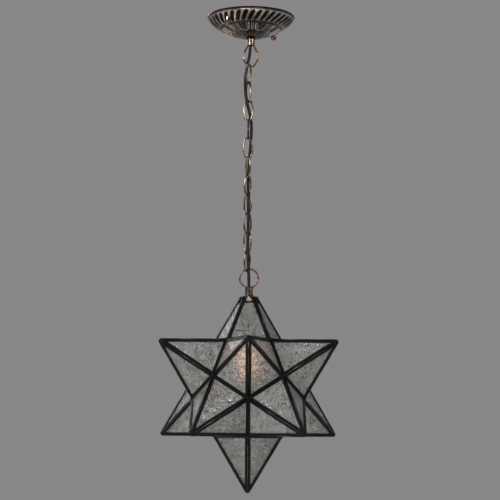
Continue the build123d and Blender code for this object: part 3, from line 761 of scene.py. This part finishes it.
def shieldHeight(share, turn):
    # a round-ended shield with two rims, and a pair of strips between one and the next
    plan = shieldPlan
    across = (turn * plan["count"] + plan["turn"]) % 1 - 0.5
    far = math.hypot(across / plan["wide"], max(0, share - plan["roundFrom"]) / plan["round"])
    body = plan["body"] * math.sqrt(max(0, 1 - (far / plan["bodyWide"]) ** 2))
    rim = ridgeLike(far - 1, plan["rimWide"])
    secondRim = plan["secondHigh"] * ridgeLike(far - plan["secondRim"], plan["secondWide"])
    strip = 0
    if share < plan["stripEnd"]:
        strip = plan["strip"] * ridgeLike(abs(across) - plan["stripPlace"], plan["stripWide"])
    height = max(body, rim, secondRim, strip) - plan["rest"]
    return plan["depth"] * height * min(1, plan["fade"] * share, plan["fade"] * (1 - share))


def petalHeight(share, turn):
    plan = petalPlan
    lobe = abs(math.sin(math.pi * turn * plan["count"])) ** plan["round"]
    inwards = min(max(share, plan["edge"]), 1 - plan["edge"])
    return plan["depth"] * (lobe - plan["rest"]) * math.sin(math.pi * inwards) ** plan["fade"]


def makeCanopy():
    plan = canopyPlan
    # each row is a radius, a height, its share of the band, the band's outward way and its carving
    rows = [(plan["radius"] - plan["wall"], 0, 0, None, None)]
    rows += [(plan["radius"] + inset, z, 0, None, None) for inset, z in plan["rim"]]
    for band, height in (("outer", fluteHeight), ("middle", shieldHeight), ("inner", petalHeight)):
        rows += [(*row, height) for row in bowedRun(*plan[band])]
    rows += [(r, z, 0, None, None) for r, z in plan["neck"]]
    for band in ("inner", "middle", "outer"):
        start, end, bulge, count = plan[band]
        for r, z, share, out in reversed(bowedRun(start, end, bulge, plan["insideSteps"])):
            rows.append((r - out[0] * plan["wall"], z - out[1] * plan["wall"], 0, None, None))
    bm = bmesh.new()
    order = bm.verts.layers.int.new("row")
    relief = bm.verts.layers.float.new("relief")
    ring = [bm.verts.new((row[0] / 1000, 0, row[1] / 1000)) for row in rows]
    edges = [bm.edges.new(pair) for pair in zip(ring, ring[1:] + ring[:1])]
    for index, vertex in enumerate(ring):
        vertex[order] = index
    bmesh.ops.spin(bm, geom=ring + edges, cent=(0, 0, 0), axis=(0, 0, 1), angle=2 * math.pi,
                   steps=plan["steps"], use_merge=True)
    for vertex in bm.verts:
        r, z, share, out, height = rows[vertex[order]]
        if height:
            lift = height(share, math.atan2(vertex.co.y, vertex.co.x) / (2 * math.pi))
            radial = Vector((vertex.co.x, vertex.co.y, 0)).normalized()
            vertex.co += (radial * out[0] + Vector((0, 0, out[1]))) * lift / 1000
            # the height also sets the colour: painted shade over the patina in the hollows, painted highlight
            # on the high places
            vertex[relief] = plan["reliefMiddle"] + lift / plan["reliefRange"]
    bmesh.ops.recalc_face_normals(bm, faces=bm.faces[:])
    return bm


canopyShell = putPiece("canopyShell", makeCanopy(), bronzeCarved)
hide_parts("canopy")
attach(canopyShell, "canopy")
print("canopy made")


# floor, lights and the plain surround
stagePlan = {
    "floor": -1.9,
    "floorSize": 14,
    "floorColour": (0.8, 0.8, 0.8, 1),
    "floorRough": 0.9,
    "wall": (0.25, 0.24, 0.245, 1),
    "fill": (0.50, 0.50, 0.50, 1),
    "aim": Vector((0, 0, -0.45)),
    "lamps": [("keyLamp", (-1.7, -2.3, 0.7), 1.1, 70), ("sideLamp", (2.1, -1.5, 0.6), 1.0, 26),
              ("lowLamp", (-0.6, -1.9, -1.15), 0.8, 14), ("backLamp", (-1.4, 2.0, 1.0), 1.8, 20)],
}
floorFinish, tree, shader = newMaterial("paleFloor")
shader.inputs["Base Color"].default_value = stagePlan["floorColour"]
shader.inputs["Roughness"].default_value = stagePlan["floorRough"]
bm = bmesh.new()
bmesh.ops.create_grid(bm, x_segments=1, y_segments=1, size=stagePlan["floorSize"])
bmesh.ops.translate(bm, verts=bm.verts[:], vec=(0, 0, stagePlan["floor"]))
floor = putPiece("paleFloor", bm, floorFinish, smooth=False)

# the wall's grey is what is seen, also in metal and through glass, and the fill is what lights
world = bpy.data.worlds.new("paleRoom")
scene.world = world
world.use_nodes = True
tree = world.node_tree
rays = addNode(tree, "ShaderNodeLightPath")
seen = rays.outputs["Is Camera Ray"]
for kind in ("Is Glossy Ray", "Is Transmission Ray"):
    either = addNode(tree, "ShaderNodeMath", operation="MAXIMUM")
    tree.links.new(seen, either.inputs[0])
    tree.links.new(rays.outputs[kind], either.inputs[1])
    seen = either.outputs[0]
level = addNode(tree, "ShaderNodeMix", data_type="RGBA")
level.inputs[6].default_value = stagePlan["fill"]
level.inputs[7].default_value = stagePlan["wall"]
tree.links.new(seen, level.inputs[0])
tree.links.new(level.outputs[2], tree.nodes["Background"].inputs["Color"])

for name, place, size, power in stagePlan["lamps"]:
    lampData = bpy.data.lights.new(name, "AREA")
    lampData.shape = "DISK"
    lampData.size = size
    lampData.energy = power
    lamp = bpy.data.objects.new(name, lampData)
    scene.collection.objects.link(lamp)
    lamp.location = place
    lamp.rotation_euler = (stagePlan["aim"] - Vector(place)).to_track_quat("-Z", "Y").to_euler()
scene.view_settings.view_transform = "Standard"
print("stage made")
